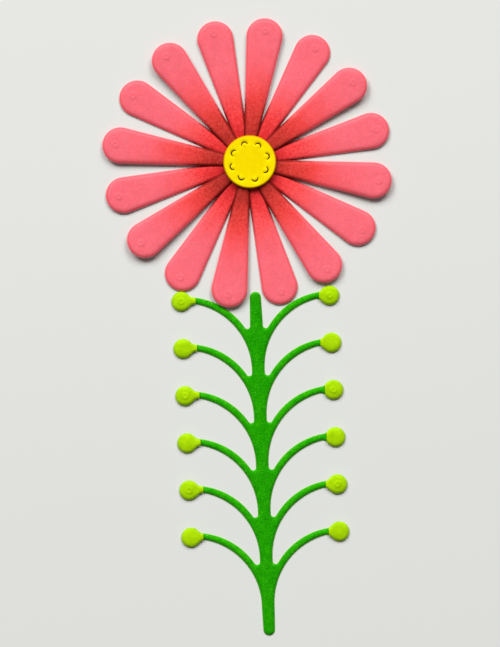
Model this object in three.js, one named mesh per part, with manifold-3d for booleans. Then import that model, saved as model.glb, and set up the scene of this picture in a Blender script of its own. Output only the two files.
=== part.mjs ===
// Paper flower: a head of sixteen card petals with a round centre, over a branched stem with buds.
// Millimetres, +Z up. The flower lies on its back on the plane z = 0 and faces up. +Y runs up the
// stem to the head. The origin is on the back, under the middle of the two petal layers.
import * as THREE from 'three';
import { mergeVertices } from 'three/addons/utils/BufferGeometryUtils.js';
import Module from 'manifold-3d';

const wasm = await Module();
wasm.setup();

// Card
const petalCard = 0.55; // thickness of one petal layer
const discCard = 0.95;
const stemCard = 0.5;
const budCard = 0.5;
const edgeRounding = 0.16; // the die rolls the upper edges over by this much
const edgeSteps = 2;

// Accuracy
const chordError = 0.03; // furthest that a straight step cuts inside a round outline
const samePoint = 0.001;
const weldDistance = 1e-5;
const cutterMargin = 1; // cutters reach this far past what they cut

// Petal layers: two like cuttings, one laid on the other and turned half a petal
const petalsPerLayer = 8;
const petalLength = 31.5; // from the middle of the layer to the tip
const petalTipRadius = 3.93;
const petalTaper = 6.46; // degrees from each side to the petal's middle line
const petalRootFillet = 0.4;
const lowerLayerTurn = 12.2; // degrees from +X to the first petal
const upperLayerShift = -0.1; // the upper layer was laid a hair to the left

// Centre disc
const discRadius = 5.7;
const discRimRadius = 0.35;
const discDish = 0.1; // the middle is pressed in by this much
const discDishRadius = 3.0;
const discShift = new THREE.Vector2(0.49, 0.18); // laid by hand, off the middle of the petals
const crescentCount = 8;
const crescentRing = 3.82; // radius of the circle that the crescents stand on
const crescentRadius = 0.62;
const crescentWidth = 0.26;
const crescentSweep = 190; // degrees
const crescentTurn = 14.8;

// Stem
const stemShift = 0.475; // the stem lies this far to the right of the head's middle
const trunkWidth = 2.78;
const trunkTipWidth = 2.44;
const trunkTipRise = 1.45; // above the first row of buds
const footLength = 6.6; // below the place where the last branches leave the trunk
const footWidth = 2.54;
const rowCount = 6;
const rowPitch = 10.2;
const crotchRadius = 0.62;

// Branches and their bud ends
const budSpread = 16.03; // from the stem's middle line to a bud's centre
const budRadius = 2.14;
const budFlareRadius = 1.3;
const branchTopPast = 0.3; // the branch's arc is level this far beyond the bud's centre
const branchUnderBud = 0.32; // there its lower edge runs this far below the bud's centre
const branchNeckWidth = 1.27;
const branchRootWidening = 0.81; // the upper edge's arc is centred this much nearer to the stem
const headClearance = 0.06; // between the stem and the tips of the lower petals

// Buds: snipped from a second cutting, each at its own place along the neck, top row first
const leftSnips = [3.1, 3.0, 3.1, 2.9, 3.05, 2.65]; // from the bud's centre to the snip
const rightSnips = [2.25, 2.4, 1.85, 1.9, 2.5, 2.3];

const radians = THREE.MathUtils.degToRad;

// Points along an arc, in degrees, both ends included
function arcPoints(centre, radius, startDegrees, endDegrees) {
  const sweep = radians(endDegrees - startDegrees);
  const stepAngle = 2 * Math.acos(1 - chordError / Math.max(radius, 4 * chordError));
  const steps = Math.max(2, Math.ceil(Math.abs(sweep) / stepAngle));
  const points = [];
  for (let i = 0; i <= steps; i++) {
    const angle = radians(startDegrees) + (sweep * i) / steps;
    points.push(new THREE.Vector2(
      centre.x + radius * Math.cos(angle),
      centre.y + radius * Math.sin(angle),
    ));
  }
  return points;
}

function degreesTowards(from, to) {
  return THREE.MathUtils.radToDeg(Math.atan2(to.y - from.y, to.x - from.x));
}

// Where two circles cross, on the left of the way from the first centre to the second
function circlesMeet(centreA, radiusA, centreB, radiusB) {
  const between = centreB.clone().sub(centreA);
  const distance = between.length();
  const along = (distance ** 2 + radiusA ** 2 - radiusB ** 2) / (2 * distance);
  const aside = Math.sqrt(Math.max(0, radiusA ** 2 - along ** 2));
  const unit = between.divideScalar(distance);
  return new THREE.Vector2(
    centreA.x + unit.x * along - unit.y * aside,
    centreA.y + unit.y * along + unit.x * aside,
  );
}

function dropRepeats(points) {
  return points.filter((point, i) => {
    const before = points[(i + points.length - 1) % points.length];
    return point.distanceTo(before) > samePoint;
  });
}

function solidFrom(geometry) {
  geometry.deleteAttribute('normal');
  geometry.deleteAttribute('uv');
  const merged = mergeVertices(geometry, weldDistance);
  return new wasm.Manifold(new wasm.Mesh({
    numProp: 3,
    vertProperties: merged.attributes.position.array,
    triVerts: Uint32Array.from(merged.index.array),
  }));
}

function geometryFrom(solid) {
  const mesh = solid.getMesh();
  const geometry = new THREE.BufferGeometry();
  geometry.setAttribute('position', new THREE.BufferAttribute(mesh.vertProperties, 3));
  geometry.setIndex(new THREE.BufferAttribute(mesh.triVerts, 1));
  geometry.computeVertexNormals();
  return geometry;
}

function boxSolid(low, high) {
  const size = high.clone().sub(low);
  const box = new THREE.BoxGeometry(size.x, size.y, size.z);
  box.translate(low.x + size.x / 2, low.y + size.y / 2, low.z + size.z / 2);
  return solidFrom(box);
}

// A sheet of card: flat and square at the back, with its upper edges rolled over. The outline is
// extruded to both sides of z = 0 with rounded edges, and the lower half is cut away.
function cardSolid(outline, thickness) {
  const rounding = Math.min(edgeRounding, thickness / 2);
  const geometry = new THREE.ExtrudeGeometry(new THREE.Shape(dropRepeats(outline)), {
    depth: 2 * (thickness - rounding),
    bevelEnabled: true,
    bevelThickness: rounding,
    bevelSize: rounding,
    bevelOffset: -rounding,
    bevelSegments: edgeSteps,
  });
  geometry.translate(0, 0, rounding - thickness);
  geometry.computeBoundingBox();
  const { min, max } = geometry.boundingBox;
  const upperHalf = boxSolid(
    new THREE.Vector3(min.x - cutterMargin, min.y - cutterMargin, 0),
    new THREE.Vector3(max.x + cutterMargin, max.y + cutterMargin, thickness + cutterMargin),
  );
  return solidFrom(geometry).intersect(upperHalf);
}

// Petal layers
const tipCentreRadius = petalLength - petalTipRadius;

// One petal along +X: the root fillet before it, its lower side, tip and upper side
function petalOutline(turn) {
  const taper = radians(petalTaper);
  const halfPitch = Math.PI / petalsPerLayer;
  const tipCentre = new THREE.Vector2(tipCentreRadius, 0);
  const sideHeight = petalTipRadius / Math.cos(taper) - tipCentreRadius * Math.tan(taper);
  const valley = sideHeight / (Math.tan(halfPitch) - Math.tan(taper));
  const opening = halfPitch - taper; // half the angle between two neighbouring sides
  const valleyDistance = valley / Math.cos(halfPitch) + petalRootFillet / Math.sin(opening);
  const filletCentre = new THREE.Vector2(
    valleyDistance * Math.cos(-halfPitch),
    valleyDistance * Math.sin(-halfPitch),
  );
  const halfPitchDegrees = 180 / petalsPerLayer;
  const points = [
    ...arcPoints(filletCentre, petalRootFillet, 180 - halfPitchDegrees, 90 - petalTaper),
    ...arcPoints(tipCentre, petalTipRadius, -90 - petalTaper, 90 + petalTaper),
    ...arcPoints(
      new THREE.Vector2(filletCentre.x, -filletCentre.y),
      petalRootFillet,
      petalTaper - 90,
      halfPitchDegrees - 180,
    ),
  ];
  const origin = new THREE.Vector2();
  return points.map((point) => point.rotateAround(origin, turn));
}

function petalLayerSolid() {
  const outline = [];
  for (let i = 0; i < petalsPerLayer; i++) {
    outline.push(...petalOutline((2 * Math.PI * i) / petalsPerLayer));
  }
  return cardSolid(outline, petalCard);
}

// Centre disc, with eight cut crescents round its middle
function crescentOutline() {
  const centre = new THREE.Vector2();
  const half = crescentSweep / 2;
  const inner = crescentRadius - crescentWidth / 2;
  const outer = crescentRadius + crescentWidth / 2;
  return [
    ...arcPoints(centre, outer, -half, half),
    ...arcPoints(centre, inner, half, -half),
  ];
}

function discSolid() {
  const rim = arcPoints(
    new THREE.Vector2(discRadius - discRimRadius, discCard - discRimRadius),
    discRimRadius,
    0,
    90,
  );
  const profile = [
    new THREE.Vector2(0, 0),
    new THREE.Vector2(discRadius, 0),
    ...rim,
    new THREE.Vector2(discDishRadius + discDish, discCard),
    new THREE.Vector2(discDishRadius - discDish, discCard - discDish),
    new THREE.Vector2(0, discCard - discDish),
  ];
  const around = Math.ceil(Math.PI / Math.acos(1 - chordError / 2 / discRadius));
  const lathe = new THREE.LatheGeometry(profile, around);
  lathe.rotateX(Math.PI / 2); // the lathe turns about +Y, the disc about +Z
  let disc = solidFrom(lathe);
  for (let i = 0; i < crescentCount; i++) {
    const angle = radians(crescentTurn + (360 * i) / crescentCount);
    const cutter = new THREE.ExtrudeGeometry(new THREE.Shape(crescentOutline()), {
      depth: discCard + 2 * cutterMargin,
      bevelEnabled: false,
    });
    cutter.translate(crescentRing, 0, -cutterMargin);
    cutter.rotateZ(angle);
    disc = disc.subtract(solidFrom(cutter));
  }
  return disc;
}

// Stem, in its own frame: x runs out from its middle line, y up from the first row of buds
const trunkHalf = trunkWidth / 2;
const branchInnerRadius = budSpread + branchTopPast - trunkHalf;
const branchOuterRadius = branchInnerRadius + branchNeckWidth - branchRootWidening;

// The arcs and fillets that a branch and its bud end are drawn with, for a bud at height y
function branchLayout(y) {
  const bud = new THREE.Vector2(budSpread, y);
  const inner = new THREE.Vector2(
    trunkHalf + branchInnerRadius,
    y - branchUnderBud - branchInnerRadius,
  );
  const outer = new THREE.Vector2(
    inner.x - branchRootWidening,
    inner.y + branchRootWidening,
  );
  const reach = budRadius + budFlareRadius;
  const lowerFlare = circlesMeet(inner, branchInnerRadius - budFlareRadius, bud, reach);
  const upperFlare = circlesMeet(outer, branchOuterRadius + budFlareRadius, bud, reach);
  return { bud, inner, outer, lowerFlare, upperFlare };
}

// The round hollow over a branch, between it and the trunk. Where the next branch has already
// begun to leave the trunk, the hollow meets that branch's lower edge.
function crotchOver(row) {
  const { outer } = branchLayout(-row * rowPitch);
  const next = branchLayout((1 - row) * rowPitch).inner;
  const reach = branchOuterRadius + crotchRadius;
  const x = trunkHalf + crotchRadius;
  const y = outer.y + Math.sqrt(reach ** 2 - (outer.x - x) ** 2);
  if (row === 0 || y <= next.y) {
    return { centre: new THREE.Vector2(x, y), wallDegrees: 180 };
  }
  const centre = circlesMeet(outer, reach, next, branchInnerRadius - crotchRadius);
  return { centre, wallDegrees: degreesTowards(next, centre) };
}

// Round the bud's end, from the flare under it to the flare over it
function budEndPoints({ bud, inner, outer, lowerFlare, upperFlare }) {
  const budStart = degreesTowards(bud, lowerFlare);
  const budEnd = degreesTowards(bud, upperFlare);
  return [
    ...arcPoints(
      lowerFlare,
      budFlareRadius,
      degreesTowards(inner, lowerFlare),
      degreesTowards(lowerFlare, bud),
    ),
    ...arcPoints(bud, budRadius, budStart, budEnd),
    ...arcPoints(
      upperFlare,
      budFlareRadius,
      degreesTowards(upperFlare, bud),
      degreesTowards(upperFlare, outer),
    ),
  ];
}

// One branch from its root to the hollow over it
function branchPoints(row, rootDegrees, crotch) {
  const layout = branchLayout(-row * rowPitch);
  const { inner, outer, lowerFlare, upperFlare } = layout;
  return [
    ...arcPoints(inner, branchInnerRadius, rootDegrees, degreesTowards(inner, lowerFlare)),
    ...budEndPoints(layout),
    ...arcPoints(
      outer,
      branchOuterRadius,
      degreesTowards(outer, upperFlare),
      degreesTowards(outer, crotch.centre),
    ),
    ...arcPoints(
      crotch.centre,
      crotchRadius,
      degreesTowards(crotch.centre, outer),
      crotch.wallDegrees - 360,
    ),
  ];
}

const lastRow = -(rowCount - 1) * rowPitch;

function stemOutline() {
  const footHalf = footWidth / 2;
  const tipHalf = trunkTipWidth / 2;
  const footEnd = branchLayout(lastRow).inner.y - footLength;
  const foot = new THREE.Vector2(0, footEnd + footHalf);
  const tip = new THREE.Vector2(0, trunkTipRise - tipHalf);
  const rightSide = arcPoints(foot, footHalf, -90, 0);
  let rootDegrees = 180;
  for (let row = rowCount - 1; row >= 0; row--) {
    const crotch = crotchOver(row);
    rightSide.push(...branchPoints(row, rootDegrees, crotch));
    rootDegrees = crotch.wallDegrees;
  }
  rightSide.push(...arcPoints(tip, tipHalf, 0, 90));
  const leftSide = rightSide.map((point) => new THREE.Vector2(-point.x, point.y)).reverse();
  return [...rightSide, ...leftSide];
}

// A bud is the end of such a branch, cut off square at its snip
function budSolid(snip) {
  const layout = branchLayout(0);
  const neckDegrees = 10; // enough of the branch's arcs to reach past the snip
  const { inner, outer, lowerFlare, upperFlare } = layout;
  const lowerEdge = arcPoints(
    inner,
    branchInnerRadius,
    degreesTowards(inner, lowerFlare) + neckDegrees,
    degreesTowards(inner, lowerFlare),
  );
  const upperEdge = arcPoints(
    outer,
    branchOuterRadius,
    degreesTowards(outer, upperFlare),
    degreesTowards(outer, upperFlare) + neckDegrees,
  );
  const end = cardSolid([...lowerEdge, ...budEndPoints(layout), ...upperEdge], budCard);
  const beyond = budRadius + cutterMargin;
  const kept = boxSolid(
    new THREE.Vector3(budSpread - snip, -beyond, -cutterMargin),
    new THREE.Vector3(budSpread + beyond, beyond, budCard + cutterMargin),
  );
  return end.intersect(kept);
}

// The stem lies in one plane with the lower petals. Its first row of buds lies as high as the
// petal tips let it, over its buds, the upper edges of its branches and its own round end.
function firstRowHeight() {
  const { bud, outer } = branchLayout(0);
  const tipHalf = trunkTipWidth / 2;
  const rounds = [{ x: 0, y: trunkTipRise - tipHalf, radius: tipHalf }];
  for (const side of [-1, 1]) {
    rounds.push({ x: side * bud.x, y: bud.y, radius: budRadius });
    rounds.push({ x: side * outer.x, y: outer.y, radius: branchOuterRadius });
  }
  let height = Infinity;
  for (let i = 0; i < petalsPerLayer; i++) {
    const turn = radians(lowerLayerTurn + (360 * i) / petalsPerLayer);
    const tipX = tipCentreRadius * Math.cos(turn);
    const tipY = tipCentreRadius * Math.sin(turn);
    for (const round of rounds) {
      const reach = petalTipRadius + round.radius + headClearance;
      const aside = tipX - (stemShift + round.x);
      if (Math.abs(aside) < reach) {
        height = Math.min(height, tipY - Math.sqrt(reach ** 2 - aside ** 2) - round.y);
      }
    }
  }
  return height;
}

function material(color, roughness) {
  return new THREE.MeshStandardMaterial({ color, roughness, metalness: 0 });
}

function namedMesh(name, geometry, finish) {
  const mesh = new THREE.Mesh(geometry, finish);
  mesh.name = name;
  return mesh;
}

const coral = material(0xfa5f66, 0.85);
const yellow = material(0xf7da01, 0.7);
const green = material(0x25a004, 0.85);
const lime = material(0xacdc05, 0.8);

const flower = new THREE.Group();

// Head
const head = new THREE.Group();
const halfPetalPitch = 180 / petalsPerLayer;

const lowerLayer = namedMesh('petal_layer_lower', geometryFrom(petalLayerSolid()), coral);
lowerLayer.rotation.z = radians(lowerLayerTurn);
head.add(lowerLayer);

const upperLayer = namedMesh('petal_layer_upper', geometryFrom(petalLayerSolid()), coral);
upperLayer.rotation.z = radians(lowerLayerTurn + halfPetalPitch);
upperLayer.position.set(upperLayerShift, 0, petalCard);
head.add(upperLayer);

const disc = namedMesh('centre_disc', geometryFrom(discSolid()), yellow);
disc.position.set(discShift.x, discShift.y, 2 * petalCard);
head.add(disc);

flower.add(head);

// Stem and buds
const spray = new THREE.Group();
spray.position.set(stemShift, firstRowHeight(), 0);

spray.add(namedMesh('stem', geometryFrom(cardSolid(stemOutline(), stemCard)), green));

for (let row = 0; row < rowCount; row++) {
  const right = namedMesh(`bud_right_${row + 1}`, geometryFrom(budSolid(rightSnips[row])), lime);
  right.position.set(0, -row * rowPitch, stemCard);
  spray.add(right);

  // The left bud is the right one's mirror image, so its triangles are turned round too
  const mirrored = geometryFrom(budSolid(leftSnips[row]));
  mirrored.scale(-1, 1, 1);
  mirrored.index.array.reverse();
  mirrored.computeVertexNormals();
  const left = namedMesh(`bud_left_${row + 1}`, mirrored, lime);
  left.position.set(0, -row * rowPitch, stemCard);
  spray.add(left);
}

flower.add(spray);

export default flower;
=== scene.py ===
import math

import bmesh
import bpy
import numpy as np
from mathutils import Matrix, Vector, geometry, noise


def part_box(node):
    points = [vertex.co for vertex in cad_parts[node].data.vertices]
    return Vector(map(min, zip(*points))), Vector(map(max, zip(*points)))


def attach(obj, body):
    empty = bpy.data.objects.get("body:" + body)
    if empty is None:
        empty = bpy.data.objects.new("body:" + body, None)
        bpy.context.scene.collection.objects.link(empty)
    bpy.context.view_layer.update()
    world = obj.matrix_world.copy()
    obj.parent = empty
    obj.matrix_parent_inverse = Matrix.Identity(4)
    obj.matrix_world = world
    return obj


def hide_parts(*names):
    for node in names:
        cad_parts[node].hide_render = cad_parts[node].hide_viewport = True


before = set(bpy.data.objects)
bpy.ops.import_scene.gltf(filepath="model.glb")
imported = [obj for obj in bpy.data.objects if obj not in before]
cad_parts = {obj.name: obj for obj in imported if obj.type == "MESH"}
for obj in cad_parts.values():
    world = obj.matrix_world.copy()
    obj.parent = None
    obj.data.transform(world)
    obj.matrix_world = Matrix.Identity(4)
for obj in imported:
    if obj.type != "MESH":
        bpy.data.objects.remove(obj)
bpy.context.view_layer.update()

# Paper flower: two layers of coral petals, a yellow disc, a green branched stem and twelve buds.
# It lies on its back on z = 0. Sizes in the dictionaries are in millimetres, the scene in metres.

mm = 0.001
scene = bpy.context.scene
scene.view_settings.view_transform = "Standard"

# How finely outlines and faces are cut up
meshing = {
    "arcStep": 0.32,
    "arcTurn": 0.24,  # the most, in radians, from one point of an arc to the next
    "lineStep": 0.4,
    "samePoint": 0.001,
    "latticeClear": 0.62,  # the lattice's distance from outlines, in spacings
    "sliver": 2e-5,  # twice the area of the smallest face that is kept
    "backBevel": 0.02,  # between the back and the cut walls
}


# Adds a node to any tree. Inputs are given by name or number, as values or as other nodes' outputs.
def addNode(tree, kind, inputs=None, **settings):
    node = tree.nodes.new(kind)
    for name, value in settings.items():
        setattr(node, name, value)
    for socket, value in (inputs or {}).items():
        if isinstance(value, bpy.types.NodeSocket):
            tree.links.new(value, node.inputs[socket])
        else:
            node.inputs[socket].default_value = value
    return node


def calc(tree, operation, *values):
    return addNode(tree, "ShaderNodeMath", dict(enumerate(values)), operation=operation).outputs[0]


def newTree(name, sockets):
    tree = bpy.data.node_groups.new(name, "GeometryNodeTree")
    for title, kind in sockets:
        tree.interface.new_socket(title, in_out="INPUT", socket_type="NodeSocket" + kind)
    tree.interface.new_socket("Card", in_out="OUTPUT", socket_type="NodeSocketGeometry")
    return tree


# Runs a tree on a mesh and gives the result as a plain mesh
def runTree(name, mesh, tree, values):
    holder = bpy.data.objects.new(name, mesh)
    scene.collection.objects.link(holder)
    modifier = holder.modifiers.new(tree.name, "NODES")
    modifier.node_group = tree
    for item in tree.interface.items_tree:
        if item.item_type == "SOCKET" and item.in_out == "INPUT" and item.name in values:
            modifier[item.identifier] = values[item.name]
    bpy.context.view_layer.update()
    evaluated = holder.evaluated_get(bpy.context.evaluated_depsgraph_get())
    result = bpy.data.meshes.new_from_object(evaluated)
    holder.modifiers.remove(modifier)
    bpy.data.objects.remove(holder)
    return result


def arcPoints(centre, radius, startDegrees, endDegrees, stepLength=meshing["arcStep"]):
    sweep = math.radians(endDegrees - startDegrees)
    stepTurn = min(stepLength / radius, meshing["arcTurn"])
    steps = max(2, math.ceil(abs(sweep) / stepTurn))
    return [
        Vector((
            centre.x + radius * math.cos(math.radians(startDegrees) + sweep * i / steps),
            centre.y + radius * math.sin(math.radians(startDegrees) + sweep * i / steps),
        ))
        for i in range(steps + 1)
    ]


def linePoints(start, end):
    steps = max(1, math.ceil((end - start).length / meshing["lineStep"]))
    return [start.lerp(end, i / steps) for i in range(steps + 1)]


def degreesTowards(start, end):
    return math.degrees(math.atan2(end.y - start.y, end.x - start.x))


# Where two circles cross, on the left of the way from the first centre to the second
def circlesMeet(centreA, radiusA, centreB, radiusB):
    between = centreB - centreA
    along = (between.length_squared + radiusA ** 2 - radiusB ** 2) / (2 * between.length)
    aside = math.sqrt(max(0, radiusA ** 2 - along ** 2))
    unit = between.normalized()
    return centreA + unit * along + Vector((-unit.y, unit.x)) * aside


def joined(*runs):
    points = []
    for run in runs:
        for point in run:
            if not points or (point - points[-1]).length > meshing["samePoint"]:
                points.append(point)
    return points


def mirrored(points):
    return [Vector((-point.x, point.y)) for point in reversed(points)]


# A point's mirror image across the line from the origin at an angle
def acrossRay(point, degrees):
    ray = Vector((math.cos(math.radians(degrees)), math.sin(math.radians(degrees))))
    return 2 * point.dot(ray) * ray - point


# How a pressed edge is rolled over: steps of (distance in from the outline, height above the back)
# up the square wall, then of (distance in, depth below the face) over the shoulder. The shoulder
# is a wide slope (width, drop, power) and a rounding outside it (width, drop). Depths are below
# zero, the last one by a hair, which tells them from the wall's heights.
def rolledEdge(slope, rounding, steps=8):
    edge = [(meshing["backBevel"], 0), (0, meshing["backBevel"])]
    width = max(slope[0], rounding[0])
    for i in range(steps + 1):
        distance = width * (i / steps) ** 1.5  # closer together at the outline
        depth = slope[1] * max(0, 1 - distance / slope[0]) ** slope[2]
        outside = max(0, 1 - distance / rounding[0])
        depth += rounding[1] * (1 - math.sqrt(1 - outside ** 2))
        edge.append((distance, -depth - 1e-9))
    return edge


# An outline moved into the card. The card is on the outline's left. An open outline brings one
# more point at each end, which only says how it goes on.
def movedIn(points, closed, distance):
    count = len(points)
    moved = []
    for i in range(count) if closed else range(1, count - 1):
        before = (points[i] - points[i - 1]).normalized()
        after = (points[(i + 1) % count] - points[i]).normalized()
        middle = (before + after).normalized()
        reach = distance / max(0.5, middle.dot(after))
        moved.append(points[i] + Vector((-middle.y, middle.x)) * reach)
    return moved


def insideBorders(places, borders):
    inside = np.zeros(len(places), bool)
    px, py = places[:, :1], places[:, 1:]
    for border in borders:
        ring = np.array([tuple(point) for point in border])
        x1, y1 = ring[:, 0], ring[:, 1]
        x2, y2 = np.roll(x1, -1), np.roll(y1, -1)
        spans = (y1 > py) != (y2 > py)
        crossing = (x2 - x1) * (py - y1) / np.where(y2 == y1, 1e-9, y2 - y1) + x1
        inside ^= np.count_nonzero(spans & (px < crossing), axis=1) % 2 == 1
    return inside


# Points of a triangular lattice inside the borders, clear of them and of the points kept off
def latticeIn(borders, spacing, keepOff):
    ring = np.array([tuple(point) for border in borders for point in border])
    low, high = ring.min(0), ring.max(0)
    rise = spacing * math.sqrt(3) / 2
    rows = range(math.floor(low[1] / rise), math.ceil(high[1] / rise) + 1)
    columns = range(math.floor(low[0] / spacing) - 1, math.ceil(high[0] / spacing) + 1)
    places = np.array([
        ((column + 0.5 * (row % 2)) * spacing, row * rise) for row in rows for column in columns
    ])
    places = places[insideBorders(places, borders)]
    near = np.vstack([ring, np.array([tuple(point) for point in keepOff]).reshape(-1, 2)])
    gaps = np.sqrt(((places[:, None] - near[None]) ** 2).sum(2)).min(1)
    return [Vector(place) for place in places[gaps > meshing["latticeClear"] * spacing]]


# One cutting of card, or a stretch of one between seams, from z = 0 up. Each outline is (points,
# closed, edge); the seam leads from the end of each open outline to the start of the next. The
# attribute "edge" is 1 on the cut walls and falls to 0 over the shoulder.
def cardMesh(name, outlines, seams, heightAt, spacing, marks=()):
    vertices, faces, nearness = [], [], []

    def add(point, z, near=0):
        vertices.append((point.x * mm, point.y * mm, z * mm))
        nearness.append(near)
        return len(vertices) - 1

    backs, fronts = [], []
    for points, closed, edge in outlines:
        below = None
        for distance, lift in edge:
            moved = movedIn(points, closed, distance)
            near = 1 - distance / edge[-1][0] if lift < 0 else 1
            row = [
                add(point, lift if lift >= 0 else heightAt(point) + lift, near) for point in moved
            ]
            if below is None:
                backs.append(list(zip(moved, row)))
            else:
                for i in range(len(row) if closed else len(row) - 1):
                    j = (i + 1) % len(row)
                    faces.append((below[i], below[j], row[j], row[i]))
            below = row
        fronts.append(list(zip(moved, row)))

    for chains, isFront in ((backs, False), (fronts, True)):
        rings, seamed = [], []
        leads = iter(seams)
        for chain, (_, closed, _) in zip(chains, outlines):
            if closed:
                rings.append(chain)
            else:
                seamed += chain
                for point in next(leads):
                    seamed.append((point, add(point, heightAt(point) if isFront else 0)))
        if seamed:
            rings.append(seamed)
        borders = [[point for point, vertex in ring] for ring in rings]
        loose = list(marks) if isFront else []
        loose += latticeIn(borders, spacing if isFront else 2 * spacing, loose)
        places = [point for border in borders for point in border] + loose
        ids = [vertex for ring in rings for point, vertex in ring]
        ids += [add(point, heightAt(point) if isFront else 0) for point in loose]
        sides, start = [], 0
        for border in borders:
            count = len(border)
            sides += [(start + i, start + (i + 1) % count) for i in range(count)]
            start += count
        found = geometry.delaunay_2d_cdt(places, sides, [], 0, 1e-7)
        spots, triangles, origins = found[0], found[2], found[3]
        middles = np.array([
            tuple(sum((spots[i] for i in triangle), Vector((0, 0))) / 3) for triangle in triangles
        ])
        for triangle, isCard in zip(triangles, insideBorders(middles, borders)):
            a, b, c = (spots[i] for i in triangle)
            # slivers along a straight seam are left out
            if isCard and abs((b - a).cross(c - a)) > meshing["sliver"]:
                corners = [ids[origins[i][0]] for i in triangle]
                faces.append(corners if isFront else corners[::-1])

    mesh = bpy.data.meshes.new(name)
    mesh.from_pydata(vertices, [], faces)
    mesh.polygons.foreach_set("use_smooth", [True] * len(mesh.polygons))
    mesh.attributes.new("edge", "FLOAT", "POINT").data.foreach_set("value", nearness)
    return mesh


def smoothly(value, low, high):
    share = min(1, max(0, (value - low) / (high - low)))
    return share * share * (3 - 2 * share)


# The round mark that a push-out hole in the die leaves: a low boss with a dished middle. The
# places are shares of its radius.
mark = {
    "radius": 0.98,
    "boss": (0.5, 1),
    "dish": (0.05, 0.55),
    "dishDepth": 0.5,  # of the boss's height
    "rings": 9,
    "ringsTo": 1.15,
}


def markHeight(distance, height):
    share = distance / mark["radius"]
    boss = 1 - smoothly(share, *mark["boss"])
    dish = 1 - smoothly(share, *mark["dish"])
    return height * (boss - mark["dishDepth"] * dish)


def markRings(centre):
    points = [centre]
    for i in range(1, mark["rings"] + 1):
        ring = mark["radius"] * mark["ringsTo"] * i / mark["rings"]
        count = 8 + 4 * i
        points += [
            centre + ring * Vector((math.cos(turn), math.sin(turn)))
            for turn in (2 * math.pi * (k + 0.5 * (i % 2)) / count for k in range(count))
        ]
    return points


# Slow unevenness of pressed card, on its upper side only: (height, size, seed)
def unevenCard(mesh, back, thickness, unevenness):
    amount, size, seed = unevenness
    for vertex in mesh.vertices:
        x, y, z = vertex.co / mm
        share = min(1, max(0, (z - back) / thickness))
        wave = noise.noise(Vector((x / size + seed, y / size - seed, seed * 0.7)))
        vertex.co.z += amount * mm * wave * share
    mesh.update()


def addPiece(name, mesh, node, finish):
    mesh.name = name
    if not mesh.materials:
        mesh.materials.append(finish)
    piece = bpy.data.objects.new(name, mesh)
    scene.collection.objects.link(piece)
    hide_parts(node)
    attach(piece, "root")
    return piece


def srgb(red, green, blue):
    def linear(value):
        value /= 255
        return value / 12.92 if value <= 0.04045 else ((value + 0.055) / 1.055) ** 2.4
    return (linear(red), linear(green), linear(blue), 1)


def ramp(tree, factor, stops):
    node = addNode(tree, "ShaderNodeValToRGB", {"Fac": factor})
    elements = node.color_ramp.elements
    for i, (place, color) in enumerate(stops):
        element = elements[i] if i < 2 else elements.new(place)
        element.position = place
        element.color = color
    return node.outputs["Color"]


def noiseAt(tree, place, size, detail=2.0, roughness=0.5):  # size in millimetres
    return addNode(
        tree,
        "ShaderNodeTexNoise",
        {"Vector": place, "Scale": 1 / (size * mm), "Detail": detail, "Roughness": roughness},
        noise_dimensions="3D",
    ).outputs[0]


def mixed(tree, factor, colorA, colorB, blend="MIX"):
    node = addNode(tree, "ShaderNodeMix", data_type="RGBA", blend_type=blend)
    for socket, value in ((0, factor), (6, colorA), (7, colorB)):
        if isinstance(value, bpy.types.NodeSocket):
            tree.links.new(value, node.inputs[socket])
        else:
            node.inputs[socket].default_value = value
    return node.outputs[2]


def spread(tree, value, low, high, lowTo=0.0, highTo=1.0, kind="SMOOTHSTEP"):
    return addNode(
        tree,
        "ShaderNodeMapRange",
        {0: value, 1: low, 2: high, 3: lowTo, 4: highTo},
        interpolation_type=kind,
    ).outputs[0]


# How near the cut edge the surface is, from the cards' own attribute
def edgeShare(tree, low, high, most):
    edge = addNode(tree, "ShaderNodeAttribute", attribute_name="edge").outputs["Fac"]
    return spread(tree, edge, low, high, 0.0, most)


# The distance from the Z axis
def reachOf(tree, place):
    flat = addNode(tree, "ShaderNodeVectorMath", {0: place, 1: (1, 1, 0)}, operation="MULTIPLY")
    length = addNode(tree, "ShaderNodeVectorMath", {0: flat.outputs[0]}, operation="LENGTH")
    return length.outputs["Value"]


def scaled(tree, color, factor):
    return addNode(
        tree, "ShaderNodeVectorMath", {0: color, "Scale": factor}, operation="SCALE"
    ).outputs[0]


cardGrain = {
    "grain": 0.35,  # size of the pressed grain
    "grainDepth": 0.02,
    "pores": 0.11,
    "poreDepth": 0.008,
    "roughness": (0.55, 0.5),  # of the face, and of a burnished edge
    "whiteSheen": (0.06, 0.7),
    "ownSheen": 0.4,  # of card whose sheen has its own colour
}


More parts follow.
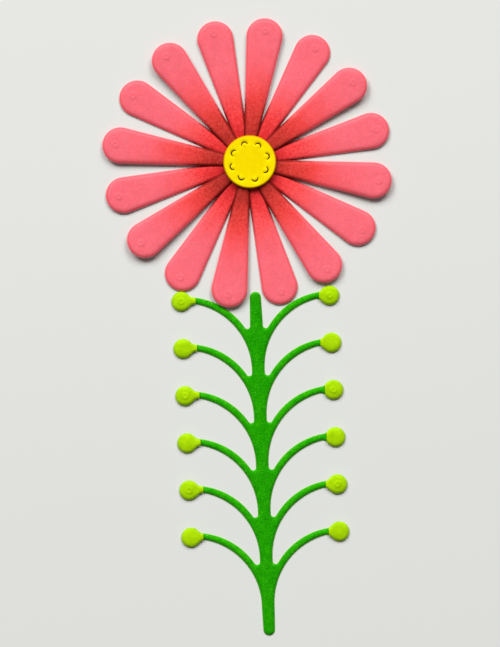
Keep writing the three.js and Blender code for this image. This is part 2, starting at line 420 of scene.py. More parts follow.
# A card finish: the caller's paint gives the colour from the place on the card, and how burnished
# the card is there. Where it gives no burnish, the sheen has the card's own colour.
def cardMaterial(name, paint):
    material = bpy.data.materials.new(name)
    material.use_nodes = True
    tree = material.node_tree
    tree.nodes.clear()
    place = addNode(tree, "ShaderNodeTexCoord").outputs["Object"]
    pressed = noiseAt(tree, place, cardGrain["grain"], 3.0, 0.6)
    pores = noiseAt(tree, place, cardGrain["pores"])
    height = calc(tree, "MULTIPLY", pressed, cardGrain["grainDepth"] * mm)
    height = calc(tree, "MULTIPLY_ADD", pores, cardGrain["poreDepth"] * mm, height)
    bump = addNode(tree, "ShaderNodeBump", {"Height": height, "Strength": 1.0, "Distance": 1.0})
    color, burnish = paint(tree, place)
    look = {"Base Color": color, "Normal": bump.outputs["Normal"]}
    if burnish is None:
        look["Roughness"] = cardGrain["roughness"][0]
        look["Specular IOR Level"] = cardGrain["ownSheen"]
        look["Specular Tint"] = color
    else:
        for title, ends in (("Roughness", "roughness"), ("Specular IOR Level", "whiteSheen")):
            look[title] = spread(tree, burnish, 0.0, 1.0, *cardGrain[ends], kind="LINEAR")
    shader = addNode(tree, "ShaderNodeBsdfPrincipled", look)
    addNode(tree, "ShaderNodeOutputMaterial", {"Surface": shader.outputs[0]})
    return material


# Camera, straight above the flower
cameraSizes = {
    "middle": (-0.91, -34.64),  # the point of the table in the middle of the picture
    "pictureHeight": 139.75,
    "height": 700,
    "lean": 2.4,  # degrees that the flower leans to the left in the picture
    "sensor": 36,
}

lens = bpy.data.cameras.new("camera")
lens.sensor_width = cameraSizes["sensor"]
lens.lens = cameraSizes["sensor"] * cameraSizes["height"] / cameraSizes["pictureHeight"]
lens.clip_start = 0.01
lens.clip_end = 20
camera = bpy.data.objects.new("camera", lens)
camera.location = (
    cameraSizes["middle"][0] * mm,
    cameraSizes["middle"][1] * mm,
    cameraSizes["height"] * mm,
)
camera.rotation_euler = (0, 0, -math.radians(cameraSizes["lean"]))
scene.collection.objects.link(camera)
scene.camera = camera
print("camera placed")

# Petal layers
petals = {
    "count": 8,
    "length": 31.5,
    "tipRadius": 3.93,
    "taper": 6.46,  # degrees from each side to the middle line
    "rootFillet": 0.4,
    "lowerTurn": 12.2,
    "slope": (1.1, 0.39, 2.1),  # how the sides are pressed down
    "rounding": (0.35, 0.12),
    "bow": 0.12,  # how far the middle of a petal is bowed up, and how wide its sides are
    "bowWidth": 2.2,
    "bowFrom": (9, 18),  # from the head's middle, where the bow begins and is full
    "spacing": 0.75,
    "markAt": 28.7,  # from the head's middle
    "markHeight": 0.09,
    "lowerLift": 0.4,  # how high the tips stand off
    "upperLift": 0.6,
    "liftFrom": 7,
    "liftPower": 1.6,
    "liftVariation": 0.6,
    "liftSeed": 4,
    "lowerUneven": (0.05, 5, 3.1),
    "upperUneven": (0.05, 5, 3.65),
    "seamWeld": 0.002,
}

petalTones = {
    # distance from the head's middle, and the colour there
    "upper": [
        (7, (176, 46, 38)),
        (10, (213, 58, 50)),
        (14, (240, 69, 67)),
        (18, (251, 91, 97)),
        (22, (251, 104, 115)),
        (26, (251, 110, 123)),
    ],
    "lower": [
        (6, (208, 40, 42)),
        (10, (242, 62, 63)),
        (14, (251, 87, 90)),
        (18, (251, 103, 113)),
        (21, (251, 109, 122)),
        (26, (251, 109, 122)),
    ],
    "wornAndHighlight": (253, 172, 174),  # the pale cut edge: partly ink worn thin, partly a painted highlight
    "shoulderShade": (244, 74, 88),  # painted shade: a deeper red over the rolled edges
    "rim": (104, 14, 10),  # ink gathered along the edges of the roots, deepened by painted shade where they overlap
    "speck": (255, 150, 130),
}

petalInk = {
    "tonesFrom": 4,  # distances from the head's middle that the ramp of tones spans
    "tonesTo": 32,
    "smear": (6, 6),  # size of the patches, and how far they move the tones in and out
    "rub": (0.5, 7),
    "root": (10, 17),  # where the ink of the roots thins out
    "mottle": 0.6,
    "mottleDark": (0.91, 0.68, 0.68, 1),
    "mottleLight": (1.09, 1.35, 1.35, 1),
    "cloud": 1.6,
    "fine": 0.28,
    "fineDark": (0.98, 0.84, 0.84, 1),
    "fineLight": (1, 1.13, 1.13, 1),
    "speck": 0.27,
    "speckFade": (8, 20),
    "lowerSpeckle": 0.25,
    "upperSpeckle": 0.7,
    # shares of the way to the cut edge: from, to, most
    # painted shade over the shoulders
    "shoulderShade": (0.3, 0.8, 0.8),
    # ink and painted shade along the root edges
    "rim": (0.4, 0.85, 0.8),
    # worn cut edge with a painted highlight
    "wornAndHighlight": (0.8, 1.0, 0.7),
    "burnish": (0.1, 1.0, 1.0),
}

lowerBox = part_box("petal_layer_lower")
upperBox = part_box("petal_layer_upper")
petalCard = (lowerBox[1].z - lowerBox[0].z) / mm
upperShift = (upperBox[0].x + upperBox[1].x) / 2


def petalHeight(point):
    distance = (point - Vector((petals["markAt"], 0))).length
    return petalCard + markHeight(distance, petals["markHeight"])


# One petal and its share of the middle. It lies along +X, between seams at half a petal's turn.
def petalSector():
    taper = math.radians(petals["taper"])
    halfPitch = math.pi / petals["count"]
    halfDegrees = 180 / petals["count"]
    tip = Vector((petals["length"] - petals["tipRadius"], 0))
    sideHeight = petals["tipRadius"] / math.cos(taper) - tip.x * math.tan(taper)
    valley = sideHeight / (math.tan(halfPitch) - math.tan(taper)) / math.cos(halfPitch)
    valley += petals["rootFillet"] / math.sin(halfPitch - taper)
    fillet = Vector((math.cos(halfPitch), -math.sin(halfPitch))) * valley
    root = arcPoints(fillet, petals["rootFillet"], 180 - halfDegrees, 90 - petals["taper"])
    tipArc = arcPoints(tip, petals["tipRadius"], -90 - petals["taper"], 90 + petals["taper"])
    lower = joined(root, linePoints(root[-1], tipArc[0]))
    upper = [Vector((point.x, -point.y)) for point in reversed(lower)]
    outline = joined(lower, tipArc, upper)
    before = acrossRay(outline[1], -halfDegrees)
    after = acrossRay(outline[-2], halfDegrees)
    ray = Vector((math.cos(halfPitch), math.sin(halfPitch)))
    step = (valley - petals["rootFillet"] - petals["slope"][0]) / 3
    seam = [ray * step * 2, ray * step, Vector((0, 0))]
    seam += [Vector((point.x, -point.y)) for point in (seam[1], seam[0])]
    mesh = cardMesh(
        "petalSector",
        [([before] + outline + [after], False, rolledEdge(petals["slope"], petals["rounding"]))],
        [seam],
        petalHeight,
        petals["spacing"],
        markRings(Vector((petals["markAt"], 0))),
    )
    for vertex in mesh.vertices:
        x, y, z = vertex.co / mm
        inside = (sideHeight + x * math.tan(taper) - abs(y)) * math.cos(taper)
        if x > tip.x:
            inside = petals["tipRadius"] - (Vector((x, y)) - tip).length
        flat = 1 - min(1, max(0, inside) / petals["bowWidth"])
        vertex.co.z += petals["bow"] * (1 - flat ** 2) * smoothly(x, *petals["bowFrom"]) * mm
    return mesh


# Sets sectors round the middle, closes the seams, lets the tips stand off and lays the ring down
def ringTree():
    tree = newTree("sectorRing", [
        ("Sector", "Geometry"),
        ("Sectors", "Int"),
        ("Turn", "Float"),
        ("Tip lift", "Float"),
        ("Lift from", "Float"),
        ("Lift to", "Float"),
        ("Lift power", "Float"),
        ("Lift variation", "Float"),
        ("Seed", "Int"),
        ("Place", "Vector"),
        ("Finish", "Material"),
    ])
    given = tree.nodes.new("NodeGroupInput").outputs
    dots = addNode(tree, "GeometryNodePoints", {"Count": given["Sectors"]})
    index = addNode(tree, "GeometryNodeInputIndex").outputs[0]
    share = calc(tree, "DIVIDE", calc(tree, "MULTIPLY", index, 2 * math.pi), given["Sectors"])
    turn = addNode(tree, "ShaderNodeCombineXYZ", {"Z": calc(tree, "ADD", share, given["Turn"])})
    rotation = addNode(tree, "FunctionNodeEulerToRotation", {0: turn.outputs[0]})
    ring = addNode(tree, "GeometryNodeInstanceOnPoints", {
        "Points": dots.outputs[0],
        "Instance": given["Sector"],
        "Rotation": rotation.outputs[0],
    })
    numbered = addNode(
        tree,
        "GeometryNodeStoreNamedAttribute",
        {"Geometry": ring.outputs[0], "Name": "sector", "Value": index},
        data_type="FLOAT",
        domain="INSTANCE",
    )
    realized = addNode(tree, "GeometryNodeRealizeInstances", {0: numbered.outputs[0]})
    closed = addNode(tree, "GeometryNodeMergeByDistance", {
        "Geometry": realized.outputs[0],
        "Distance": petals["seamWeld"] * mm,
    })
    sector = addNode(tree, "GeometryNodeInputNamedAttribute", {"Name": "sector"}, data_type="FLOAT")
    chance = addNode(
        tree,
        "FunctionNodeRandomValue",
        {2: -1.0, 3: 1.0, "ID": sector.outputs[0], "Seed": given["Seed"]},
        data_type="FLOAT",
    )
    position = addNode(tree, "GeometryNodeInputPosition").outputs[0]
    reach = addNode(tree, "ShaderNodeVectorMath", {0: position}, operation="LENGTH")
    bend = addNode(
        tree,
        "ShaderNodeMapRange",
        {0: reach.outputs["Value"], 1: given["Lift from"], 2: given["Lift to"], 3: 0.0, 4: 1.0},
    )
    varied = calc(tree, "MULTIPLY_ADD", chance.outputs[1], given["Lift variation"], 1.0)
    curve = calc(tree, "POWER", bend.outputs[0], given["Lift power"])
    lift = calc(tree, "MULTIPLY", curve, given["Tip lift"])
    offset = addNode(tree, "ShaderNodeCombineXYZ", {"Z": calc(tree, "MULTIPLY", lift, varied)})
    bent = addNode(tree, "GeometryNodeSetPosition", {
        "Geometry": closed.outputs[0],
        "Offset": offset.outputs[0],
    })
    laid = addNode(tree, "GeometryNodeTransform", {
        "Geometry": bent.outputs[0],
        "Translation": given["Place"],
    })
    painted = addNode(tree, "GeometryNodeSetMaterial", {
        "Geometry": laid.outputs[0],
        "Material": given["Finish"],
    })
    addNode(tree, "NodeGroupOutput", {0: painted.outputs[0]})
    return tree


# Noise that moves a distance by up to half its reach either way
def strayed(tree, place, patches, detail, roughness=0.5):
    size, reach = patches
    stray = noiseAt(tree, place, size, detail, roughness)
    return calc(tree, "MULTIPLY_ADD", stray, reach * mm, -reach / 2 * mm)


# Ink that was rubbed outwards from the root. It fades with the distance from the head's middle.
def petalPaint(tones, speckle):
    def paint(tree, place):
        smear = strayed(tree, place, petalInk["smear"], 3.0)
        rub = strayed(tree, place, petalInk["rub"], 4.0, 0.65)
        reach = calc(tree, "ADD", calc(tree, "ADD", reachOf(tree, place), smear), rub)
        first, last = petalInk["tonesFrom"], petalInk["tonesTo"]
        stops = [((distance - first) / (last - first), srgb(*tone)) for distance, tone in tones]
        ink = ramp(tree, spread(tree, reach, first * mm, last * mm, kind="LINEAR"), stops)
        inner, outer = petalInk["root"]
        root = spread(tree, reach, inner * mm, outer * mm, 1.0, 0.0)
        outside = calc(tree, "SUBTRACT", 1.0, root)

        blots = noiseAt(tree, place, petalInk["mottle"], 3.0, 0.6)
        mottle = ramp(tree, spread(tree, blots, 0.3, 0.7), [
            (0.0, petalInk["mottleDark"]),
            (1.0, petalInk["mottleLight"]),
        ])
        mottle = mixed(tree, root, (1, 1, 1, 1), mottle)
        cloud = noiseAt(tree, place, petalInk["cloud"], 4.0, 0.65)
        clouded = scaled(tree, ink, spread(tree, cloud, 0.3, 0.7, 0.95, 1.04))
        fine = ramp(tree, spread(tree, noiseAt(tree, place, petalInk["fine"]), 0.3, 0.7), [
            (0.0, petalInk["fineDark"]),
            (1.0, petalInk["fineLight"]),
        ])
        inkAndPaintedLight = mixed(tree, 1.0, clouded, fine, "MULTIPLY")
        inkAndPaintedLight = mixed(tree, 1.0, inkAndPaintedLight, mottle, "MULTIPLY")

        inner, outer = petalInk["speckFade"]
        nearRoot = spread(tree, reach, inner * mm, outer * mm, speckle, 0.05)
        speck = spread(tree, noiseAt(tree, place, petalInk["speck"], 1.0), 0.68, 0.8)
        for tone, share in (
            ("speck", calc(tree, "MULTIPLY", speck, nearRoot)),
            # painted shade over the shoulders
            ("shoulderShade", calc(tree, "MULTIPLY", edgeShare(tree, *petalInk["shoulderShade"]), outside)),
            # ink and painted shade along the root edges
            ("rim", calc(tree, "MULTIPLY", edgeShare(tree, *petalInk["rim"]), root)),
            # worn cut edge with a painted highlight
            ("wornAndHighlight", calc(tree, "MULTIPLY", edgeShare(tree, *petalInk["wornAndHighlight"]), outside)),
        ):
            inkAndPaintedLight = mixed(tree, share, inkAndPaintedLight, srgb(*petalTones[tone]))
        return inkAndPaintedLight, calc(tree, "MULTIPLY", edgeShare(tree, *petalInk["burnish"]), outside)
    return paint


sectorMesh = petalSector()
ring = ringTree()

for layer, slot, turn, back, shift in (
    ("lower", "coral_card", 0, 0, 0),
    ("upper", "inked_coral_card", 180 / petals["count"], petalCard, upperShift),
):
    name = "petals_" + layer
    finish = cardMaterial(slot, petalPaint(petalTones[layer], petalInk[layer + "Speckle"]))
    mesh = runTree(name, sectorMesh, ring, {
        "Sectors": petals["count"],
        "Turn": math.radians(petals["lowerTurn"] + turn),
        "Tip lift": petals[layer + "Lift"] * mm,
        "Lift from": petals["liftFrom"] * mm,
        "Lift to": petals["length"] * mm,
        "Lift power": petals["liftPower"],
        "Lift variation": petals["liftVariation"],
        "Seed": petals["liftSeed"],
        "Place": (shift, 0, back * mm),
        "Finish": finish,
    })
    unevenCard(mesh, back, petalCard, petals[layer + "Uneven"])
    addPiece(name, mesh, "petal_layer_" + layer, finish)
    print(name, "cut,", len(mesh.polygons), "faces")

# Centre disc, built from eight sectors with one crescent slit each
disc = {
    "radius": 5.7,
    "slope": (0.5, 0.08, 2.2),
    "rounding": (0.3, 0.2),
    "crescents": 8,
    "crescentRing": 3.78,  # distance of the crescents' middles from the disc's middle
    "crescentRadius": 0.7,
    "crescentWidth": 0.22,
    "crescentEnds": 0.3,  # of that width is left at the ends
    "crescentSweep": 190,
    "crescentTurn": 14.8,
    "crescentSteps": 13,
    "crescentStep": 0.12,
    "lip": (0.1, 0.08),  # the slit's own small rolled edge
    "hollow": 0.16,  # how far the card sinks towards the slit from outside
    "hollowWidth": 0.26,
    "hollowPower": 1.3,
    "hollowFacing": (-0.35, 0.5),  # it shows on the side away from the middle
    "pad": 0.1,  # how far the card inside a crescent stands up
    "padFrom": 0.1,
    "rimStep": 0.25,
    "spacing": 0.26,
}

discTones = [
    # share of 6 mm from the disc's middle, and the colour there
    (0.0, (246, 218, 2)),
    (0.48, (246, 218, 2)),
    (0.62, (250, 226, 3)),
    (0.9, (250, 223, 3)),
    (1.0, (240, 196, 4)),
]
discEdge = (206, 146, 4)  # brown on the rim, and painted shade in the slits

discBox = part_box("centre_disc")
discCard = (discBox[1].z - discBox[0].z) / mm
crescentAt = Vector((disc["crescentRing"], 0))


def discHeight(point):
    height = discCard
    fromSlit = point - crescentAt
    distance = fromSlit.length
    facing = smoothly(fromSlit.x / max(distance, 0.001), *disc["hollowFacing"])
    if distance > disc["crescentRadius"]:
        beyond = (distance - disc["crescentRadius"]) / disc["hollowWidth"]
        height -= disc["hollow"] * facing * math.exp(-beyond ** disc["hollowPower"])
    height += disc["pad"] * (1 - smoothly(distance, disc["padFrom"], disc["crescentRadius"]))
    return height


# A crescent, as a hole: clockwise round its outer arc, then back along its inner one
def crescentOutline():
    half = disc["crescentSweep"] / 2
    ends = disc["crescentEnds"]
    outer = arcPoints(crescentAt, disc["crescentRadius"], half, -half, disc["crescentStep"])
    inner = []
    for i in range(disc["crescentSteps"]):
        turn = math.radians(-half + 2 * half * (i + 0.5) / disc["crescentSteps"])
        width = disc["crescentWidth"] * (ends + (1 - ends) * math.cos(turn * 0.85))
        radius = disc["crescentRadius"] - width
        inner.append(crescentAt + radius * Vector((math.cos(turn), math.sin(turn))))
    return joined(outer, inner)


def discSector():
    half = 180 / disc["crescents"]
    middle = Vector((0, 0))
    rim = arcPoints(middle, disc["radius"], -half, half, disc["rimStep"])
    before = acrossRay(rim[1], -half)
    after = acrossRay(rim[-2], half)
    count = math.ceil(disc["radius"] / (2 * disc["spacing"]))
    ray = (rim[-1] / disc["radius"]) * (disc["radius"] - disc["slope"][0])
    seam = [ray * (1 - i / count) for i in range(1, count)]
    seam = seam + [middle] + [Vector((point.x, -point.y)) for point in reversed(seam)]
    return cardMesh(
        "discSector",
        [
            ([before] + rim + [after], False, rolledEdge(disc["slope"], disc["rounding"])),
            (crescentOutline(), True, rolledEdge(disc["lip"] + (1,), disc["lip"], 3)),
        ],
        [seam],
        discHeight,
        disc["spacing"],
    )


# Yellow ink, paler towards the raised ring; browner round the rim, and painted shade in the slits
def discPaint(tree, place):
    middle = (discBox[0] + discBox[1]) / 2
    centred = addNode(
        tree, "ShaderNodeVectorMath", {0: place, 1: (middle.x, middle.y, 0)}, operation="SUBTRACT"
    )
    reach = reachOf(tree, centred.outputs[0])
    stops = [(share, srgb(*tone)) for share, tone in discTones]
    tones = ramp(tree, spread(tree, reach, 0.0, 6 * mm, kind="LINEAR"), stops)
    cloud = spread(tree, noiseAt(tree, place, 1.2, 4.0, 0.6), 0.3, 0.7, 0.96, 1.03)
    yellow = scaled(tree, tones, cloud)
    # browner round the rim, painted shade in the slits
    return mixed(tree, edgeShare(tree, 0.25, 0.8, 0.9), yellow, srgb(*discEdge)), None


finish = cardMaterial("yellow_card", discPaint)
mesh = runTree("disc", discSector(), ring, {
    "Sectors": disc["crescents"],
    "Turn": math.radians(disc["crescentTurn"]),
    "Tip lift": 0.0,
    "Lift from": 0.0,
    "Lift to": disc["radius"] * mm,
    "Lift power": 1.0,
    "Lift variation": 0.0,
    "Seed": 1,
    "Place": ((discBox[0].x + discBox[1].x) / 2, (discBox[0].y + discBox[1].y) / 2, discBox[0].z),
    "Finish": finish,
})
addPiece("disc", mesh, "centre_disc", finish)
print("disc cut,", len(mesh.polygons), "faces")

# Stem: one stretch of trunk with its two branches, set down six times, a tip and a foot
stem = {
    "trunkWidth": 2.78,
    "tipWidth": 2.44,
    "tipRise": 1.45,  # above the first row of buds
    "footLength": 6.6,  # below the root of the last branches
    "footWidth": 2.54,
    "rows": 6,
    "rowPitch": 10.2,
    "crotchRadius": 0.62,
    "budSpread": 16.03,  # from the stem's middle line to a bud's centre
    "budRadius": 2.14,
    "budFlareRadius": 1.3,
    "branchTopPast": 0.3,
    "branchUnderBud": 0.32,
    "branchNeckWidth": 1.27,
    "branchRootWidening": 0.81,
    "seamBelowRow": 5.4,  # the trunk is cut into stretches here, where its sides are straight
    "seamAcross": (-0.5, 0, 0.5),
    "seamPast": 0.3,  # how far past a seam the point lies that says how the side goes on
    "seamWeld": 0.005,
    "firstStep": 0.2,
    "slope": (0.62, 0.47, 1.7),
    "rounding": (0.1, 0.01),
    "spacing": 0.6,
    "uneven": (0.03, 3, 5.7),
}

stemTones = {
    "blots": [(0.0, (23, 144, 3)), (0.5, (33, 158, 3)), (1.0, (46, 171, 5))],
    "speck": (140, 214, 90),
    "edge": (160, 214, 60),  # painted highlight: a pale yellow-green line along the cut edges
    "branch": (1.35, 1.13, 1.2, 1),  # painted light: the branches are this much lighter than the trunk, as their rounded tops face the lamps
    "branchFrom": (2, 5),  # from the trunk's middle line
}

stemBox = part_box("stem")
stemCard = (stemBox[1].z - stemBox[0].z) / mm
trunkHalf = stem["trunkWidth"] / 2
branchInner = stem["budSpread"] + stem["branchTopPast"] - trunkHalf
branchOuter = branchInner + stem["branchNeckWidth"] - stem["branchRootWidening"]
bud = Vector((stem["budSpread"], 0))
innerCentre = Vector((trunkHalf + branchInner, -stem["branchUnderBud"] - branchInner))
outerCentre = innerCentre + Vector((-1, 1)) * stem["branchRootWidening"]
flareReach = stem["budRadius"] + stem["budFlareRadius"]
lowerFlare = circlesMeet(innerCentre, branchInner - stem["budFlareRadius"], bud, flareReach)
upperFlare = circlesMeet(outerCentre, branchOuter + stem["budFlareRadius"], bud, flareReach)
stemEdge = rolledEdge(stem["slope"], stem["rounding"], 7)


# Round a bud's end, from the flare under it to the flare over it
def budEnd():
    flare = stem["budFlareRadius"]
    under = degreesTowards(innerCentre, lowerFlare)
    over = degreesTowards(bud, upperFlare)
    last = degreesTowards(upperFlare, outerCentre)
    return joined(
        arcPoints(lowerFlare, flare, under, degreesTowards(lowerFlare, bud)),
        arcPoints(bud, stem["budRadius"], degreesTowards(bud, lowerFlare), over),
        arcPoints(upperFlare, flare, degreesTowards(upperFlare, bud), last),
    )


def stemHeight(point):
    return stemCard


def trunkLead(height, toRight):
    across = stem["seamAcross"] if toRight else reversed(stem["seamAcross"])
    return [Vector((x, height)) for x in across]


# The stretch of trunk under a row of buds at y = 0, with the row's two branches
def branchStretch():
    low = -stem["seamBelowRow"] - stem["rowPitch"]
    high = -stem["seamBelowRow"]
    x = trunkHalf + stem["crotchRadius"]
    rise = math.sqrt((branchOuter + stem["crotchRadius"]) ** 2 - (outerCentre.x - x) ** 2)
    crotch = Vector((x, outerCentre.y + rise))
    top = degreesTowards(outerCentre, upperFlare)
    right = joined(
        [Vector((trunkHalf, low - stem["seamPast"])), Vector((trunkHalf, low))],
        arcPoints(innerCentre, branchInner, 180, degreesTowards(innerCentre, lowerFlare)),
        budEnd(),
        arcPoints(outerCentre, branchOuter, top, degreesTowards(outerCentre, crotch)),
        arcPoints(crotch, stem["crotchRadius"], degreesTowards(crotch, outerCentre), -180),
        [Vector((trunkHalf, high)), Vector((trunkHalf, high + stem["seamPast"]))],
    )
    return cardMesh(
        "branchStretch",
        [(right, False, stemEdge), (mirrored(right), False, stemEdge)],
        [trunkLead(high, False), trunkLead(low, True)],
        stemHeight,
        stem["spacing"],
    )


# An end of the trunk: a side going away from the seam, a half round and the other side
def trunkEnd(name, seamY, endY, endHalf, towards):
    middle = Vector((0, endY - towards * endHalf))
    first = Vector((trunkHalf, seamY + towards * stem["firstStep"]))
    side = joined(
        [Vector((trunkHalf, seamY - towards * stem["seamPast"])), Vector((trunkHalf, seamY))],
        linePoints(first, Vector((endHalf, middle.y))),
    )
    cap = arcPoints(middle, endHalf, 0, 180 * towards, stem["firstStep"])
    outline = joined(side, cap, [Vector((-point.x, point.y)) for point in reversed(side)])
    if towards < 0:
        outline.reverse()
    return cardMesh(
        name,
        [(outline, False, stemEdge)],
        [trunkLead(seamY, towards > 0)],
        stemHeight,
        stem["spacing"],
    )


# Sets the stretches down the trunk, closes them with the tip and the foot, and lays the stem down
def stemTree():
    tree = newTree("stemRows", [
        ("Stretch", "Geometry"),
        ("Rows", "Int"),
        ("Row pitch", "Float"),
        ("Tip", "Object"),
        ("Foot", "Object"),
        ("Place", "Vector"),
        ("Finish", "Material"),
    ])
    given = tree.nodes.new("NodeGroupInput").outputs
    down = calc(tree, "MULTIPLY", given["Row pitch"], -1.0)
    step = addNode(tree, "ShaderNodeCombineXYZ", {"Y": down})
    dots = addNode(
        tree,
        "GeometryNodeMeshLine",
        {"Count": given["Rows"], "Offset": step.outputs[0]},
        mode="OFFSET",
    )
    rows = addNode(tree, "GeometryNodeInstanceOnPoints", {
        "Points": dots.outputs[0],
        "Instance": given["Stretch"],
    })
    tip = addNode(tree, "GeometryNodeObjectInfo", {"Object": given["Tip"]})
    foot = addNode(tree, "GeometryNodeObjectInfo", {"Object": given["Foot"]})
    last = calc(tree, "MULTIPLY", calc(tree, "SUBTRACT", given["Rows"], 1.0), down)
    footPlace = addNode(tree, "ShaderNodeCombineXYZ", {"Y": last})
    lowered = addNode(tree, "GeometryNodeTransform", {
        "Geometry": foot.outputs["Geometry"],
        "Translation": footPlace.outputs[0],
    })
    whole = tree.nodes.new("GeometryNodeJoinGeometry")
    for part in (rows.outputs[0], tip.outputs["Geometry"], lowered.outputs[0]):
        tree.links.new(part, whole.inputs[0])
    realized = addNode(tree, "GeometryNodeRealizeInstances", {0: whole.outputs[0]})
    closed = addNode(tree, "GeometryNodeMergeByDistance", {
        "Geometry": realized.outputs[0],
        "Distance": stem["seamWeld"] * mm,
    })
    laid = addNode(tree, "GeometryNodeTransform", {
        "Geometry": closed.outputs[0],
        "Translation": given["Place"],
    })
    painted = addNode(tree, "GeometryNodeSetMaterial", {
        "Geometry": laid.outputs[0],
        "Material": given["Finish"],
    })
    addNode(tree, "NodeGroupOutput", {0: painted.outputs[0]})
    return tree


# Green ink dabbed on with a sponge: darker and lighter blots, and a fine pale grain. Painted light
# makes the branches lighter than the trunk, and a painted highlight runs along the cut edges.
def stemPaint(tree, place):
    blots = noiseAt(tree, place, 1.3, 5.0, 0.7)
    stops = [(share, srgb(*tone)) for share, tone in stemTones["blots"]]
    base = ramp(tree, spread(tree, blots, 0.3, 0.7, kind="LINEAR"), stops)
    grain = spread(tree, noiseAt(tree, place, 0.26), 0.3, 0.72, 0.7, 1.3)
    speck = spread(tree, noiseAt(tree, place, 0.24, 1.0), 0.67, 0.79, 0.0, 0.6)
    base = mixed(tree, speck, base, srgb(*stemTones["speck"]))
    x = addNode(tree, "ShaderNodeSeparateXYZ", {0: place}).outputs["X"]
    aside = calc(tree, "ABSOLUTE", calc(tree, "SUBTRACT", x, sprayPlace.x))
    # painted light on the branches
    inner, outer = stemTones["branchFrom"]
    branch = spread(tree, aside, inner * mm, outer * mm)
    branchLighting = mixed(tree, branch, (1, 1, 1, 1), stemTones["branch"])
    inkAndPaintedLight = mixed(tree, 1.0, scaled(tree, base, grain), branchLighting, "MULTIPLY")
    # painted highlight along the cut edges
    return mixed(tree, edgeShare(tree, 0.72, 1.0, 0.6), inkAndPaintedLight, srgb(*stemTones["edge"])), None


ends = []
for name, seamY, endY, width, towards in (
    ("trunkTip", -stem["seamBelowRow"], stem["tipRise"], stem["tipWidth"], 1),
    (
        "trunkFoot",
        -stem["seamBelowRow"] - stem["rowPitch"],
        innerCentre.y - stem["footLength"],
        stem["footWidth"],
        -1,
    ),
):
    end = bpy.data.objects.new(name, trunkEnd(name, seamY, endY, width / 2, towards))
    scene.collection.objects.link(end)
    ends.append(end)

sprayPlace = Vector((
    (stemBox[0].x + stemBox[1].x) / 2,
    stemBox[1].y - stem["budRadius"] * mm,
    stemBox[0].z,
))
finish = cardMaterial("green_card", stemPaint)
mesh = runTree("stem_card", branchStretch(), stemTree(), {
    "Rows": stem["rows"],
    "Row pitch": stem["rowPitch"] * mm,
    "Tip": ends[0],
    "Foot": ends[1],
    "Place": sprayPlace,
    "Finish": finish,
})
for end in ends:
    bpy.data.objects.remove(end)
unevenCard(mesh, 0, stemCard, stem["uneven"])
addPiece("stem_card", mesh, "stem", finish)
print("stem cut,", len(mesh.polygons), "faces")

# Buds, each snipped from the end of a second cutting of the stem
buds = {
    "markedRows": (0, 2, 4),
    "markHeight": 0.11,
    "crown": 0.16,  # the middle of a bud stands this much proud of its sides
    "crownFlat": 0.3,  # radius of its flat top
    "slope": (0.6, 0.3, 1.9),
    "rounding": (0.3, 0.12),
    "drape": (0.9, 0.25),  # how the round edge is pressed down over the stem: width, drop
    "drapeEnds": (0.6, 0.85),  # it fades towards the neck, between these cosines
    "neckDegrees": 12,
    "spacing": 0.4,
    "uneven": (0.02, 2, 1.9),
}

budTones = [(0.0, (156, 205, 6)), (0.5, (168, 216, 8)), (1.0, (180, 228, 14))]

budBox = {}
for side in ("left", "right"):
    for row in range(stem["rows"]):
        budBox[side, row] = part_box(f"bud_{side}_{row + 1}")
budCard = (budBox["left", 0][1].z - budBox["left", 0][0].z) / mm


def budMesh(name, snip, marked):
    def budHeight(point):
        distance = (point - bud).length
        height = budCard - buds["crown"] * smoothly(distance, buds["crownFlat"], stem["budRadius"])
        if marked:
            height += markHeight(distance, buds["markHeight"])
        return height

    innerEnd = degreesTowards(innerCentre, lowerFlare)
    outerEnd = degreesTowards(outerCentre, upperFlare)
    neck = buds["neckDegrees"]
    outline = joined(
        arcPoints(innerCentre, branchInner, innerEnd + neck, innerEnd),
        budEnd(),
        arcPoints(outerCentre, branchOuter, outerEnd, outerEnd + neck),
    )
    mesh = cardMesh(
        name,
        [(outline, False, rolledEdge(buds["slope"], buds["rounding"], 7))],
        [[]],
        budHeight,
        buds["spacing"],
        markRings(bud) if marked else (),
    )
    width, drop = buds["drape"]
    neckAt = (lowerFlare + upperFlare - 2 * bud).normalized()
    for vertex in mesh.vertices:
        out = Vector((vertex.co.x, vertex.co.y)) / mm - bud
        share = max(0, 1 - max(0, stem["budRadius"] - out.length) / width)
        free = 1 - smoothly(out.normalized().dot(neckAt), *buds["drapeEnds"])
        vertex.co.z -= drop * mm * share ** 2 * free
    shape = bmesh.new()
    shape.from_mesh(mesh)
    cut = bmesh.ops.bisect_plane(
        shape,
        geom=shape.verts[:] + shape.edges[:] + shape.faces[:],
        plane_co=((bud.x - snip) * mm, 0, 0),
        plane_no=(-1, 0, 0),
        clear_outer=True,
    )
    rim = [item for item in cut["geom_cut"] if isinstance(item, bmesh.types.BMEdge)]
    snipped = bmesh.ops.contextual_create(shape, geom=rim)["faces"]
    for edge in rim:
        edge.smooth = False
    for face in snipped:
        face.smooth = False
    bmesh.ops.triangulate(shape, faces=snipped)
    bmesh.ops.recalc_face_normals(shape, faces=shape.faces[:])
    if shape.calc_volume(signed=True) < 0:
        bmesh.ops.reverse_faces(shape, faces=shape.faces[:])
    shape.to_mesh(mesh)
    shape.free()
    return mesh


def budPaint(tree, place):
    blots = noiseAt(tree, place, 1.4, 4.0, 0.6)
    stops = [(share, srgb(*tone)) for share, tone in budTones]
    base = ramp(tree, spread(tree, blots, 0.3, 0.7, kind="LINEAR"), stops)
    grain = spread(tree, noiseAt(tree, place, 0.3), 0.35, 0.7, 0.96, 1.03)
    return scaled(tree, base, grain), None


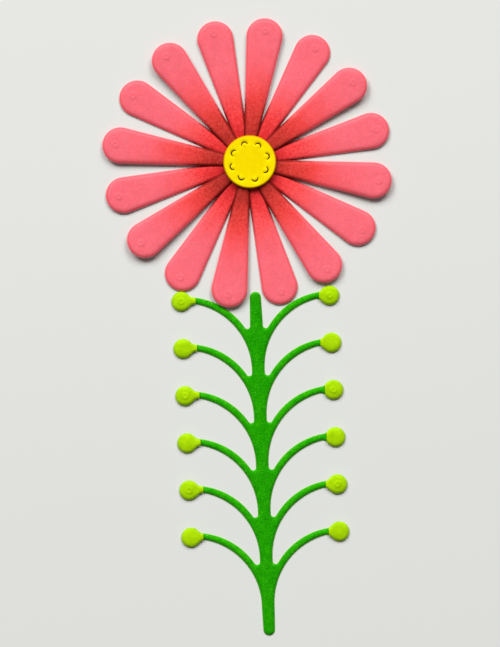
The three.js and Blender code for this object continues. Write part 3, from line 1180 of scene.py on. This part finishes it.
finish = cardMaterial("lime_card", budPaint)
for (side, row), box in budBox.items():
    snippedAt = box[1].x if side == "left" else box[0].x
    snip = stem["budSpread"] - abs(snippedAt - sprayPlace.x) / mm
    mesh = budMesh(f"bud_card_{side}_{row + 1}", snip, row in buds["markedRows"])
    if side == "left":
        mesh.transform(Matrix.Scale(-1, 4, (1, 0, 0)))
        mesh.flip_normals()
    height = sprayPlace.y - row * stem["rowPitch"] * mm
    mesh.transform(Matrix.Translation((sprayPlace.x, height, box[0].z)))
    unevenCard(mesh, box[0].z / mm, budCard, buds["uneven"])
    addPiece(mesh.name, mesh, f"bud_{side}_{row + 1}", finish)
print("buds cut")

# Table
tableLook = {
    "side": 5000,
    "below": 0.02,  # gap under the card, so that the two faces don't flicker
    "color": (226, 227, 223),
    "roughness": 0.9,
    "sheen": 0.05,
}

half = tableLook["side"] / 2 * mm
level = -tableLook["below"] * mm
tableMesh = bpy.data.meshes.new("table")
tableMesh.from_pydata(
    [(-half, -half, level), (half, -half, level), (half, half, level), (-half, half, level)],
    [],
    [(0, 1, 2, 3)],
)
table = bpy.data.objects.new("table", tableMesh)
scene.collection.objects.link(table)
tableFinish = bpy.data.materials.new("pale_table")
tableFinish.use_nodes = True
tableShader = tableFinish.node_tree.nodes["Principled BSDF"]
tableShader.inputs["Base Color"].default_value = srgb(*tableLook["color"])
tableShader.inputs["Roughness"].default_value = tableLook["roughness"]
tableShader.inputs["Specular IOR Level"].default_value = tableLook["sheen"]
tableMesh.materials.append(tableFinish)
print("table laid")

# Light: two soft boxes over the top edge of the picture, and a pale room
lights = {
    "room": 0.1,
    "backdrop": (229, 230, 226),  # what is seen past the table
    "aim": (0, -30, 0),
    "boxes": [
        # place: across, up the picture, above the table; size; watts
        ((-891, 1426, 1569), 1150, 42.2),
        ((684, 1537, 1569), 1150, 34.4),
    ],
}

world = bpy.data.worlds.new("room")
scene.world = world
world.use_nodes = True
room = world.node_tree
room.nodes.clear()
roomLight = addNode(
    room, "ShaderNodeBackground", {"Color": (1, 1, 1, 1), "Strength": lights["room"]}
)
roomSeen = addNode(
    room, "ShaderNodeBackground", {"Color": srgb(*lights["backdrop"]), "Strength": 1.0}
)
rays = addNode(room, "ShaderNodeLightPath").outputs
seen = calc(
    room,
    "MAXIMUM",
    calc(room, "MAXIMUM", rays["Is Camera Ray"], rays["Is Glossy Ray"]),
    rays["Is Transmission Ray"],
)
either = addNode(
    room, "ShaderNodeMixShader", {0: seen, 1: roomLight.outputs[0], 2: roomSeen.outputs[0]}
)
addNode(room, "ShaderNodeOutputWorld", {0: either.outputs[0]})

aim = Vector(lights["aim"]) * mm
for number, (place, size, power) in enumerate(lights["boxes"]):
    lamp = bpy.data.lights.new(f"soft_box_{number + 1}", "AREA")
    lamp.shape = "SQUARE"
    lamp.size = size * mm
    lamp.energy = power
    box = bpy.data.objects.new(lamp.name, lamp)
    box.location = [value * mm for value in place]
    box.rotation_euler = (aim - box.location).to_track_quat("-Z", "Y").to_euler()
    scene.collection.objects.link(box)
print("lights set")
